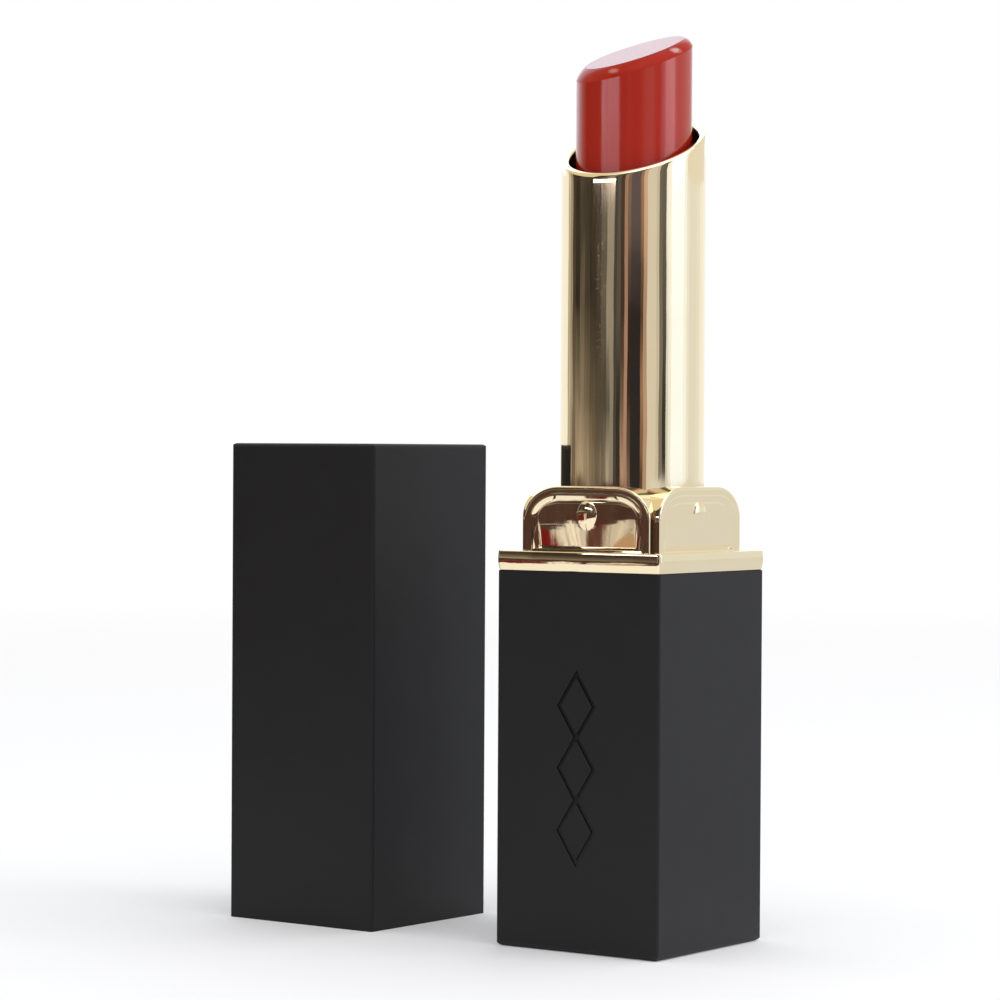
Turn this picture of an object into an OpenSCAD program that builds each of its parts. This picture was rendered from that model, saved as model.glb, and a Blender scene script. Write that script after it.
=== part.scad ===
// Square lipstick case: a twist-up lipstick with its pull-off cap set down beside it.
// Origin at the middle of the base's underside, +Z up, the marked face towards -Y.
// The tube and the slotted sleeve in it turn as one on the base. The spiral sleeve stays
// with the base, so its two spiral slots drive the cup's lugs up or down as the tube turns.

/* [Base] */
// Side of the square base and cap
side = 20; // [19.6:0.1:22]
// Height of the black base shell
base_h = 38.95; // [38.5:0.05:42]
// Wall of the base shell
base_wall = 1.1; // [0.9:0.05:1.15]
// Rounding of the upright edges
edge_r = 0.35; // [0.2:0.05:0.6]
// Rounding of the base's bottom edges
foot_r = 0.7; // [0.4:0.05:0.8]

/* [Collar] */
// Height of the gold band
band_h = 2.07; // [1.6:0.01:2.6]
// How far the band stands out from the base
band_proud = 0.07; // [0.02:0.01:0.12]
// Height of the arched block above the band
block_h = 6.7; // [6.2:0.05:7.2]
// Block measured face to face
block_across = 17; // [16.9:0.05:17.3]
// Width of each arched face
face_w = 15.75; // [14.8:0.05:16]
// Width of a face's rounded top corner
arch_w = 4.35; // [3:0.05:4.6]
// Height of a face's rounded top corner
arch_h = 3.3; // [2.4:0.05:3.5]
// Rim left above each face's panel
rim_top = 0.9; // [0.5:0.05:1.1]
// Rim left at each side of a face's panel
rim_side = 1.3; // [0.7:0.05:1.5]
// Width of a snap bump
bump_w = 2.35; // [2:0.05:3]
// Height of a snap bump
bump_h = 3.05; // [2.4:0.05:3.4]
// Middle of the snap bumps above the band
bump_z = 3.55; // [3.3:0.05:3.8]

/* [Tube] */
// Outside diameter of the gold tube
tube_d = 15; // [14.95:0.01:15.1]
// Wall of the tube
tube_wall = 0.35; // [0.3:0.01:0.38]
// Opening inside the tube's rolled lip
lip_d = 13.4; // [12.8:0.1:13.8]
// Height of the lip's middle above the block
tube_out = 35.36; // [34.8:0.01:36.5]
// Slope of the lip
lip_slope = 24.6; // [20:0.1:26]
// Direction of the lip's high side, from +X
lip_dir = 96.7; // [80:0.1:110]

/* [Bullet] */
// Diameter of the lipstick bullet
bullet_d = 12.1; // [11.8:0.05:12.2]
// Height of the tip's middle above the lip's middle, as set down
bullet_out = 9.85; // [6:0.05:12]
// Slope of the tip's flat
tip_slope = 21.8; // [15:0.1:26]
// Direction of the tip's high side, from +X
tip_dir = 74; // [60:1:110]
// Diameter of the tip's flat
tip_d = 10.6; // [9:0.1:11]
// Width of the slope round the flat
tip_inset = 0.8; // [0.5:0.05:1]
// Drop of the slope round the flat
tip_drop = 0.95; // [0.5:0.05:1.3]

/* [Mechanism] */
// Rise of the cup for one turn of the tube
lead = 16; // [14:0.5:18]
// Travel of the cup either way from where it is set down
travel = 12; // [10:0.5:12]
// Diameter of the cup's lugs
lug_d = 1.4; // [1:0.1:1.6]
// Radial clearance between parts that turn or slide on each other
run = 0.07; // [0.05:0.01:0.08]
// Wall of the spiral sleeve
spiral_wall = 0.42; // [0.38:0.01:0.44]
// Wall of the slotted sleeve
guide_wall = 0.4; // [0.36:0.01:0.42]

/* [Cap] */
// Height of the cap
cap_h = 52; // [51:0.5:60]
// Wall of the cap shell
cap_wall = 0.75; // [0.6:0.05:0.85]
// Rounding of the cap's top edges
crown_r = 0.5; // [0.3:0.05:0.8]
// Distance from the base's middle to the parked cap's middle
cap_gap = 35.9; // [24:0.1:60]
// Turn of the parked cap from square
cap_turn = -1.2; // [-45:0.1:45]

/* [Hidden] */
$fn = 72;
fit = 0.05;          // gap between parts that are pressed or glued together
eps = 0.01;          // overshoot of a cut past the face it opens
overcut = 0.4;       // overshoot of a cut through a round wall
far = 100;           // longer than any part
end_gap = 0.3;       // end clearance between parts that turn on each other

// Levels of the fixed parts
shell_grip = 5;      // how far the collar's skirt reaches into the base shell
tube_depth = 2.9;    // how far the tube reaches into the collar
band_z = base_h;
block_z = band_z + band_h;
seat_z = block_z + block_h;
tube_foot_z = seat_z - tube_depth;
shoulder_z = tube_foot_z - end_gap;
flange_h = 2.4;
flange_z = shoulder_z - fit - flange_h;
skirt_z = base_h - shell_grip;
plate_t = 1.2;

// Levels of the moving parts, as set down
lip_z = seat_z + tube_out;
tip_z = lip_z + bullet_out;
lip_t = 0.8;
lip_drop = tan(lip_slope) * tube_d / 2;
lip_gap = 0.35;      // between the slotted sleeve and the lip above it
guide_top_z = lip_z - lip_drop - lip_t - lip_gap;
cup_h = 10;
cup_floor = 0.8;
cup_out = 0.5;       // how far the raised cup's rim stands above the slotted sleeve
lug_up = 2;
lug_z = guide_top_z + cup_out - travel - cup_h + lug_up;
slot_gap = 0.1;
slot_w = lug_d + 2 * slot_gap;
slot_low = lug_z - travel - slot_w / 2 - slot_gap;
slot_high = lug_z + travel + slot_w / 2 + slot_gap;
spiral_end = 1.2;    // solid end of the spiral sleeve above its slots
spiral_top_z = slot_high + spiral_end;
floor_gap = 0.6;     // between the lowered cup and the sleeve's floor
guide_floor_z = lug_z - travel - lug_up - floor_gap;
head_z = spiral_top_z + end_gap;
head_h = 3.2;        // bonded head of the slotted sleeve
tail_up = 2.6;
tail_z = skirt_z + tail_up;

// Radii, from the tube inwards
tube_r = tube_d / 2;
tube_ri = tube_r - tube_wall;
spiral_r = tube_ri - run;
spiral_ri = spiral_r - spiral_wall;
guide_gap = 0.06;
guide_r = spiral_ri - guide_gap;
guide_ri = guide_r - guide_wall;
cup_gap = 0.08;
cup_r = guide_ri - cup_gap;
cup_wall = 0.55;
bullet_r = bullet_d / 2;
collar_gap = 0.1;
collar_ri = tube_r + collar_gap;
shoulder_w = 0.3;
flange_ri = collar_ri + shoulder_w;

// Rings on the sleeve's tail
ring_ri = 6;
ring_r = 7;
ring_d = ring_r - ring_ri;
clip_h = 0.8;
clip_z = flange_z - end_gap - clip_h;
clip_opening = 40;
oring_down = 1.9;
oring_z = clip_z - oring_down;
oring_groove = 1.2;
tail_ri = 5.2;
neck_ri = ring_r + fit;

// Inside the base
inner = side / 2 - base_wall;
core_half = inner - fit;
core_wall = 1;
web_z = 14.6;        // underside of the web above the weight
weight_r = 6.5;
weight_h = 12;
label_r = 5.5;
label_t = 0.1;

// Mark on the base: three linked lozenges
mark_z = 18.9;
mark_w = 4.8;
mark_h = 7.4;
mark_step = 6.4;
mark_line = 0.42;
mark_depth = 0.12;

// Collar faces
panel_drop = 0.12;
bump_proud = 0.42;

// Inside the cap
crown_t = 1.2;
liner_half = side / 2 - cap_wall - fit;
liner_gap = 0.1;
liner_in = block_across / 2 + liner_gap;
liner_top_t = 0.8;
weight_t = 2.1;
cap_weight_z = cap_h - crown_t - weight_t - fit;
cap_weight_half = liner_half - 0.3;
liner_top_z = cap_weight_z - fit;
mouth_z = 0.4;
window_d = 3.6;

// A square prism with round upright edges
module square_prism(half, h, r) {
  linear_extrude(h) rounded_square(half, r);
}

module rounded_square(half, r) {
  square([2 * half, 2 * (half - r)], center = true);
  square([2 * (half - r), 2 * half], center = true);
  for (x = [-1, 1], y = [-1, 1]) translate([x * (half - r), y * (half - r)]) circle(r);
}

// Side view of a block whose bottom corners are rounded by r
module footed_outline(half, h, r) {
  translate([-half, r]) square([2 * half, h - r]);
  translate([r - half, 0]) square([2 * (half - r), h]);
  for (x = [-1, 1]) translate([x * (half - r), r]) circle(r);
}

// A square block with rounded upright edges and rounded bottom edges
module footed_block(half, h, side_r, bottom_r) {
  intersection() {
    square_prism(half, h, side_r);
    for_both_sides(half, h, bottom_r);
  }
}

module for_both_sides(half, h, r) {
  intersection() {
    outline_along_y(half) footed_outline(half, h, r);
    rotate([0, 0, 90]) outline_along_y(half) footed_outline(half, h, r);
  }
}

module outline_along_y(half) {
  translate([0, half, 0]) rotate([90, 0, 0]) linear_extrude(2 * half) children();
}

// A tube from z0 to z1
module ring(r, ri, z0, z1) {
  translate([0, 0, z0]) difference() {
    cylinder(r = r, h = z1 - z0);
    translate([0, 0, -eps]) cylinder(r = ri, h = z1 - z0 + 2 * eps);
  }
}

// Everything above a plane that crosses the axis at z and rises towards dir
module above_slope(z, slope, dir) {
  translate([0, 0, z]) rotate([0, 0, dir]) rotate([0, -slope, 0])
    translate([-far / 2, -far / 2, 0]) cube([far, far, far]);
}

// A rod from z0 up to a sloping end
module sloped_rod(r, z0, z1, slope, dir) {
  difference() {
    translate([0, 0, z0]) cylinder(r = r, h = z1 - z0 + 2 * r * tan(slope));
    above_slope(z1, slope, dir);
  }
}

// Arched face outline: w wide, h high, with elliptical top corners
module arch(w, h, cw, ch) {
  translate([-w / 2, 0]) square([w, h - ch]);
  translate([cw - w / 2, 0]) square([w - 2 * cw, h]);
  for (x = [-1, 1]) translate([x * (w / 2 - cw), h - ch]) scale([cw, ch]) circle(1);
}

// One diamond of the mark's outline
module lozenge(w, h) {
  polygon([[-w / 2, 0], [0, -h / 2], [w / 2, 0], [0, h / 2]]);
}

module mark() {
  shrink = 1 - 2 * mark_line * sqrt(mark_w * mark_w + mark_h * mark_h) / (mark_w * mark_h);
  for (i = [-1, 0, 1]) translate([0, i * mark_step]) difference() {
    lozenge(mark_w, mark_h);
    lozenge(mark_w * shrink, mark_h * shrink);
  }
}

// ---- Base ----

module base_shell() {
  color("#2b2b2d") difference() {
    footed_block(side / 2, base_h, edge_r, foot_r);
    translate([0, 0, plate_t]) square_prism(inner, base_h, edge_r);
    translate([0, 0, -eps]) cylinder(r = label_r + fit, h = label_t + eps);
    translate([0, mark_depth - side / 2, mark_z]) rotate([90, 0, 0])
      linear_extrude(1) mark();
  }
}

// Moulded carrier: holds the weight below and the spiral sleeve above
module base_core() {
  color("#e8e4da") {
    difference() {
      translate([0, 0, plate_t + fit])
        square_prism(core_half, skirt_z - fit - plate_t - fit, edge_r);
      translate([0, 0, plate_t]) core_hollow(web_z - plate_t);
      translate([0, 0, web_z + plate_t]) core_hollow(skirt_z - fit - web_z - 2 * plate_t);
      translate([0, 0, web_z + 2 * plate_t]) cylinder(r = neck_ri, h = far);
    }
    ring(flange_ri - fit, neck_ri, skirt_z - fit - plate_t, flange_z);
    ring(weight_r + fit + core_wall, weight_r + fit, plate_t + fit, web_z + eps);
  }
}

module core_hollow(h) {
  square_prism(core_half - core_wall, h, edge_r);
}

module base_weight() {
  color("#9a9c9e") translate([0, 0, plate_t + fit]) cylinder(r = weight_r, h = weight_h);
}

module shade_label() {
  color("#c9c3b6") cylinder(r = label_r, h = label_t);
}

// Gold band, arched block and the skirt that holds them in the shell, in one piece
module collar() {
  color("#e3c48a") difference() {
    union() {
      translate([0, 0, skirt_z]) square_prism(core_half, band_z - skirt_z + eps, edge_r);
      translate([0, 0, band_z]) square_prism(side / 2 + band_proud, band_h, edge_r);
      for (turn = [0, 90]) rotate([0, 0, turn]) arched_prism();
      for (turn = [0 : 90 : 270]) rotate([0, 0, turn]) snap_bump();
    }
    translate([0, 0, skirt_z - eps]) cylinder(r = flange_ri, h = shoulder_z - skirt_z + eps);
    translate([0, 0, skirt_z]) cylinder(r = collar_ri, h = far);
  }
}

// Arched prism that shows a sunk panel on both its ends
module arched_prism() {
  half = block_across / 2;
  translate([0, 0, block_z]) {
    outline_along_y(half - panel_drop) arch(face_w, block_h, arch_w, arch_h);
    difference() {
      outline_along_y(half) arch(face_w, block_h, arch_w, arch_h);
      outline_along_y(half + eps)
        arch(face_w - 2 * rim_side, block_h - rim_top, arch_w - rim_side, arch_h - rim_top);
    }
  }
}

module snap_bump() {
  translate([0, -block_across / 2 + panel_drop, block_z + bump_z])
    scale([bump_w / 2, bump_proud, bump_h / 2]) sphere(1);
}

// Sleeve with two left-hand spiral slots, trapped between the core and the collar's shoulder
module spiral_sleeve() {
  color("#d9d5cb") difference() {
    union() {
      ring(spiral_r, spiral_ri, flange_z, spiral_top_z);
      ring(flange_ri - fit, spiral_ri, flange_z, flange_z + flange_h);
    }
    for (turn = [0, 180]) rotate([0, 0, turn]) spiral_slot();
  }
}

// Cutter of one spiral slot, as wide as the lug and its clearance, square across the spiral
module spiral_slot() {
  climb = atan(lead / (PI * 2 * spiral_r));
  across = slot_w / sin(climb) / spiral_r * 180 / PI;
  turns = (slot_high - slot_low) / lead;
  lug_angle = lip_dir + 90 + (lug_z - slot_low) / lead * 360;
  translate([0, 0, slot_low]) rotate([0, 0, lug_angle])
    linear_extrude(slot_high - slot_low, twist = 360 * turns, slices = ceil(32 * turns), $fn = 0)
      wedge(spiral_ri - overcut, spiral_r + overcut, across);
}

// Ring sector, a degrees wide and centred on +X
module wedge(ri, r, a) {
  steps = 2;
  outer = [for (i = [0 : steps]) let (t = a * (i / steps - 0.5)) r * [cos(t), sin(t)]];
  inside = [for (i = [steps : -1 : 0]) let (t = a * (i / steps - 0.5)) ri * [cos(t), sin(t)]];
  polygon(concat(outer, inside));
}

// ---- Tube, and what turns with it ----

module tube_shell() {
  color("#e3c48a") difference() {
    sloped_rod(tube_r, tube_foot_z, lip_z, lip_slope, lip_dir);
    sloped_rod(tube_ri, tube_foot_z - eps, lip_z - lip_t, lip_slope, lip_dir);
    cylinder(r = lip_d / 2, h = far + far);
  }
}

// Inner sleeve: its head is bonded in the tube, its tail turns in the core's neck
module slotted_sleeve() {
  color("#d9d5cb") difference() {
    union() {
      ring(guide_r, guide_ri, tail_z, guide_top_z);
      ring(tube_ri - fit / 2, guide_ri, head_z, head_z + head_h);
      ring(guide_r, tail_ri, tail_z, guide_floor_z);
      translate([0, 0, guide_floor_z - plate_t]) cylinder(r = guide_r, h = plate_t);
    }
    for (turn = [90, 270]) rotate([0, 0, lip_dir + turn])
      translate([guide_ri - overcut, -slot_w / 2, slot_low])
        cube([guide_wall + 2 * overcut, slot_w, slot_high - slot_low]);
    ring(far, ring_ri + fit, clip_z - fit, clip_z + clip_h + fit);
    ring(far, ring_ri, oring_z - oring_groove / 2, oring_z + oring_groove / 2);
  }
}

module friction_ring() {
  color("#232323") translate([0, 0, oring_z]) rotate_extrude()
    translate([(ring_r + ring_ri) / 2, 0]) circle(d = ring_d);
}

// Snap washer in the tail's groove, under the spiral sleeve: stops the tube pulling off
module retaining_ring() {
  color("#b9b9bb") translate([0, 0, clip_z]) rotate([0, 0, lip_dir + clip_opening / 2])
    rotate_extrude(angle = 360 - clip_opening)
      translate([ring_ri + fit, 0]) square([ring_d - fit, clip_h]);
}

// ---- Cup and bullet ----

module cup() {
  floor_z = lug_z - lug_up;
  color("#d9d5cb") {
    ring(cup_r, cup_r - cup_wall, floor_z, floor_z + cup_h);
    translate([0, 0, floor_z]) cylinder(r = cup_r, h = cup_floor);
    for (turn = [90, 270]) rotate([0, 0, lip_dir + turn]) translate([0, 0, lug_z])
      rotate([0, 90, 0]) translate([0, 0, cup_r - cup_wall / 2])
        cylinder(d = lug_d, h = spiral_r - fit - cup_r + cup_wall / 2);
  }
}

module bullet() {
  cup_top = lug_z - lug_up + cup_h;
  stub_z = lug_z - lug_up + cup_floor;
  color("#9b281f") {
    translate([0, 0, stub_z]) cylinder(r = cup_r - cup_wall, h = cup_top - stub_z + eps);
    difference() {
      sloped_rod(bullet_r, cup_top, tip_z, tip_slope, tip_dir);
      translate([0, 0, tip_z]) rotate([0, 0, tip_dir]) rotate([0, -tip_slope, 0]) edge_cutter();
    }
  }
}

// What is left outside a cone when the rounded edge round the tip's flat is cut
module edge_cutter() {
  depth = 3;
  difference() {
    translate([0, 0, -depth]) cylinder(r = tube_d, h = depth + 1);
    translate([0, 0, -depth - eps])
      cylinder(r1 = tip_d / 2 + depth * tip_inset / tip_drop, r2 = tip_d / 2, h = depth + eps);
    translate([0, 0, -eps]) cylinder(r = tip_d / 2, h = 2);
  }
}

// ---- Cap ----

module parked() {
  translate([-cap_gap, 0, 0]) rotate([0, 0, cap_turn]) children();
}

module cap_shell() {
  color("#2b2b2d") parked() difference() {
    translate([0, 0, cap_h]) mirror([0, 0, 1]) footed_block(side / 2, cap_h, edge_r, crown_r);
    translate([0, 0, -eps]) square_prism(liner_half + fit, cap_h - crown_t + eps, edge_r);
  }
}

// Inner sleeve of the cap, with a window for each snap bump
module cap_liner() {
  color("#1c1c1e") parked() difference() {
    translate([0, 0, mouth_z]) square_prism(liner_half, liner_top_z - mouth_z, edge_r);
    translate([0, 0, -eps]) square_prism(liner_in, liner_top_z - liner_top_t + eps, 1);
    for (turn = [0, 90]) rotate([90, 0, turn]) translate([0, bump_z, -far / 2])
      cylinder(d = window_d, h = far);
  }
}

module cap_weight() {
  color("#9a9c9e") parked() translate([0, 0, cap_weight_z])
    square_prism(cap_weight_half, weight_t, 1);
}

base_shell();
base_core();
base_weight();
shade_label();
collar();
spiral_sleeve();
tube_shell();
slotted_sleeve();
friction_ring();
retaining_ring();
cup();
bullet();
cap_shell();
cap_liner();
cap_weight();
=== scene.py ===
"""Square twist-up lipstick case with its cap beside it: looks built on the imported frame."""
import random
from math import atan2, cos, pi, radians, sin, tan

import bmesh
import bpy
from mathutils import Matrix, Vector


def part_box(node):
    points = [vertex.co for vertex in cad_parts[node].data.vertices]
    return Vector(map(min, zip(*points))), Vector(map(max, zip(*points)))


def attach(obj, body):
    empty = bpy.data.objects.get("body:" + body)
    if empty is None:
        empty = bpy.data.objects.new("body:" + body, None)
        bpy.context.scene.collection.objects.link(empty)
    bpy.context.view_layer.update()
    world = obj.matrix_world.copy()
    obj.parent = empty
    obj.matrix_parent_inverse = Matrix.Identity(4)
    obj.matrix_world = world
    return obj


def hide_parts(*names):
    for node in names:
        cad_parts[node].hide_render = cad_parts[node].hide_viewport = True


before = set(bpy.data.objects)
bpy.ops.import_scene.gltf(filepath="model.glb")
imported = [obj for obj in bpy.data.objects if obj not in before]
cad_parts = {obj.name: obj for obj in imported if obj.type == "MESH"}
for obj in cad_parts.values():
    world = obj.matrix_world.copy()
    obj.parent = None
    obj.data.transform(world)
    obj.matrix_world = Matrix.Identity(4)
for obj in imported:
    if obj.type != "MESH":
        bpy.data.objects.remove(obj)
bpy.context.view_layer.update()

MM = 0.001          # shapes are worked out in millimetres and scaled to metres at the end

# ---------------------------------------------------------------- camera

VIEW_AZIMUTH = radians(35.64)
VIEW_ELEVATION = radians(0.83)
VIEW_ROLL = radians(0.32)
VIEW_DISTANCE = 0.3634
VIEW_LENS = 125.5
AIM_SIDE = -0.01374   # aim point, to the right of the base's axis as the camera sees it
AIM_HEIGHT = 0.04618


def add_camera():
    """Camera at the photograph's viewing angle, a little rolled."""
    right = Vector((cos(VIEW_AZIMUTH), sin(VIEW_AZIMUTH), 0))
    back = Vector((sin(VIEW_AZIMUTH) * cos(VIEW_ELEVATION),
                   -cos(VIEW_AZIMUTH) * cos(VIEW_ELEVATION), sin(VIEW_ELEVATION)))
    up = back.cross(right)
    place = right * AIM_SIDE + Vector((0, 0, AIM_HEIGHT)) + back * VIEW_DISTANCE
    turn = Matrix((right, up, back)).transposed().to_4x4()
    data = bpy.data.cameras.new("camera")
    data.lens = VIEW_LENS
    data.clip_start = 0.01
    data.clip_end = 50
    camera = bpy.data.objects.new("camera", data)
    camera.matrix_world = Matrix.Translation(place) @ turn @ Matrix.Rotation(VIEW_ROLL, 4, "Z")
    bpy.context.scene.collection.objects.link(camera)
    bpy.context.scene.camera = camera


# ---------------------------------------------------------------- material helpers

def new_material(name):
    material = bpy.data.materials.new(name)
    material.use_nodes = True
    nodes = material.node_tree.nodes
    return material, nodes, material.node_tree.links, nodes["Principled BSDF"]


def object_coords(nodes, links, scale=(1000, 1000, 1000)):
    """Object coordinates in millimetres, stretched by scale."""
    coords = nodes.new("ShaderNodeTexCoord")
    mapping = nodes.new("ShaderNodeMapping")
    mapping.inputs["Scale"].default_value = scale
    links.new(coords.outputs["Object"], mapping.inputs["Vector"])
    return mapping.outputs["Vector"]


def feed(links, value, socket):
    """Links an output to the socket, or sets the socket if the value is a plain number."""
    if isinstance(value, (int, float)):
        socket.default_value = value
    else:
        links.new(value, socket)


def calculate(nodes, links, operation, first, second):
    """Math node whose two inputs are outputs of other nodes or plain numbers."""
    node = nodes.new("ShaderNodeMath")
    node.operation = operation
    feed(links, first, node.inputs[0])
    feed(links, second, node.inputs[1])
    return node.outputs["Value"]


def noise(nodes, links, vector, scale, detail=4, roughness=0.55):
    texture = nodes.new("ShaderNodeTexNoise")
    texture.inputs["Scale"].default_value = scale
    texture.inputs["Detail"].default_value = detail
    texture.inputs["Roughness"].default_value = roughness
    links.new(vector, texture.inputs["Vector"])
    return texture.outputs["Fac"]


def to_range(nodes, links, value, low, high, source_low=0.3, source_high=0.7):
    ramp = nodes.new("ShaderNodeMapRange")
    ramp.inputs["From Min"].default_value = source_low
    ramp.inputs["From Max"].default_value = source_high
    ramp.inputs["To Min"].default_value = low
    ramp.inputs["To Max"].default_value = high
    links.new(value, ramp.inputs["Value"])
    return ramp.outputs["Result"]


def mix_colours(nodes, links, factor, first, second):
    """Mix of two colours, of which the first may be another node's output."""
    mix = nodes.new("ShaderNodeMix")
    mix.data_type = "RGBA"
    if isinstance(first, tuple):
        mix.inputs["A"].default_value = (*first, 1)
    else:
        links.new(first, mix.inputs["A"])
    mix.inputs["B"].default_value = (*second, 1)
    links.new(factor, mix.inputs["Factor"])
    return mix.outputs["Result"]


def spot(nodes, links, centre, reach):
    """1 at the centre of an oval spot, fading to 0 at its reach (both in millimetres)."""
    coords = nodes.new("ShaderNodeTexCoord")
    mapping = nodes.new("ShaderNodeMapping")
    mapping.inputs["Location"].default_value = [-c / r for c, r in zip(centre, reach)]
    mapping.inputs["Scale"].default_value = [1 / MM / r for r in reach]
    length = nodes.new("ShaderNodeVectorMath")
    length.operation = "LENGTH"
    links.new(coords.outputs["Object"], mapping.inputs["Vector"])
    links.new(mapping.outputs["Vector"], length.inputs[0])
    return to_range(nodes, links, length.outputs["Value"], 1, 0, 0.4, 1)


def add_bump(nodes, links, shader, height, strength, distance):
    bump = nodes.new("ShaderNodeBump")
    bump.inputs["Strength"].default_value = strength
    bump.inputs["Distance"].default_value = distance
    links.new(height, bump.inputs["Height"])
    links.new(bump.outputs["Normal"], shader.inputs["Normal"])


# ---------------------------------------------------------------- materials

MARK_HALF_WIDE = 3        # box round the mark debossed in the base's -Y face
MARK_HEIGHTS = (5, 33)
MARK_DEPTHS = (0.03, 0.4)     # the first keeps the face itself out of the box


def in_mark(nodes, links, coords):
    """1 inside the debossed mark, 0 elsewhere."""
    face = (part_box("base_shell")[0] / MM).y
    split = nodes.new("ShaderNodeSeparateXYZ")
    links.new(coords, split.inputs["Vector"])
    limits = (("X", -MARK_HALF_WIDE, MARK_HALF_WIDE),
              ("Y", face + MARK_DEPTHS[0], face + MARK_DEPTHS[1]),
              ("Z", *MARK_HEIGHTS))
    inside = 1
    for axis, low, high in limits:
        above = calculate(nodes, links, "GREATER_THAN", split.outputs[axis], low)
        below = calculate(nodes, links, "LESS_THAN", split.outputs[axis], high)
        between = calculate(nodes, links, "MULTIPLY", above, below)
        inside = calculate(nodes, links, "MULTIPLY", between, inside)
    return inside


def soft_black():
    """Soft-touch black: an even matte coat with a very fine grain, glossier in the mark."""
    material, nodes, links, shader = new_material("soft_black")
    coords = object_coords(nodes, links)
    cloud = noise(nodes, links, coords, 0.25, 3)
    grain = noise(nodes, links, coords, 14, 3)
    coat = mix_colours(nodes, links, cloud, (0.0088, 0.0088, 0.0098), (0.0108, 0.0108, 0.0118))
    engraved = in_mark(nodes, links, coords)
    colour = mix_colours(nodes, links, engraved, coat, (0.0035, 0.0035, 0.0038))
    links.new(colour, shader.inputs["Base Color"])
    roughness = nodes.new("ShaderNodeMix")
    roughness.inputs["B"].default_value = 0.24
    links.new(engraved, roughness.inputs["Factor"])
    links.new(to_range(nodes, links, cloud, 0.43, 0.49), roughness.inputs["A"])
    links.new(roughness.outputs["Result"], shader.inputs["Roughness"])
    shader.inputs["Specular IOR Level"].default_value = 0.24
    add_bump(nodes, links, shader, grain, 0.10, 0.00002)
    return material


RUBBED = ((0.9, -7.35, 66), (1.3, 1.3, 13))    # scuffed spot on the tube: centre and reach


def gold(name, streaks, rubbed=None):
    """Pale gold plate: a mirror with hairlines, slight waviness and fine scuffs.

    The scuffs lie in patches all over, or only on the rubbed spot if one is given.
    """
    material, nodes, links, shader = new_material(name)
    coords = object_coords(nodes, links)
    lines = noise(nodes, links, object_coords(nodes, links, streaks), 1.0, 5, 0.6)
    cloud = noise(nodes, links, coords, 0.35, 4)
    swell = noise(nodes, links, object_coords(nodes, links, (260, 260, 110)), 1.0, 1)
    scuffs = noise(nodes, links, object_coords(nodes, links, (1800, 2600, 5200)), 1.0, 6, 0.7)
    colour = mix_colours(nodes, links, cloud, (0.93, 0.795, 0.53), (0.95, 0.825, 0.57))
    links.new(colour, shader.inputs["Base Color"])
    if rubbed:
        where = spot(nodes, links, *rubbed)
        scuffed = to_range(nodes, links, scuffs, 0, 0.10, 0.52, 0.70)
    else:
        where = to_range(nodes, links, noise(nodes, links, coords, 0.16, 2), 0, 1, 0.54, 0.66)
        scuffed = to_range(nodes, links, scuffs, 0, 0.09, 0.50, 0.72)
    worn = calculate(nodes, links, "MULTIPLY", where, scuffed)
    polished = to_range(nodes, links, lines, 0.02, 0.06)
    roughness = calculate(nodes, links, "ADD", worn, polished)
    links.new(roughness, shader.inputs["Roughness"])
    shader.inputs["Metallic"].default_value = 1
    wave = nodes.new("ShaderNodeBump")
    wave.inputs["Strength"].default_value = 1.0
    wave.inputs["Distance"].default_value = 0.000035
    links.new(swell, wave.inputs["Height"])
    bump = nodes.new("ShaderNodeBump")
    bump.inputs["Strength"].default_value = 0.05
    bump.inputs["Distance"].default_value = 0.00002
    links.new(lines, bump.inputs["Height"])
    links.new(wave.outputs["Normal"], bump.inputs["Normal"])
    links.new(bump.outputs["Normal"], shader.inputs["Normal"])
    return material


def bore_painted_shade():
    """The tube's bore: a dark, dull reddish lacquer that is painted shade and a painted reflection
    of the wax.
    """
    material, nodes, links, shader = new_material("bore_painted_shade")
    lines = noise(nodes, links, object_coords(nodes, links, (300, 300, 4000)), 1.0, 4)
    colour = mix_colours(nodes, links, lines, (0.060, 0.020, 0.012), (0.090, 0.030, 0.018))
    links.new(colour, shader.inputs["Base Color"])
    links.new(to_range(nodes, links, lines, 0.58, 0.72), shader.inputs["Roughness"])
    shader.inputs["Specular IOR Level"].default_value = 0.05
    add_bump(nodes, links, shader, lines, 0.08, 0.00002)
    return material


# Two painted highlights on the bullet's rounded edge, as glossy spots: centre and reach
PAINTED_HIGHLIGHTS = (((1.07, -5.5, 90.35), (0.75, 0.8, 0.34)), ((5.55, -0.73, 92.6), (0.8, 0.9, 0.4)))


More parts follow.
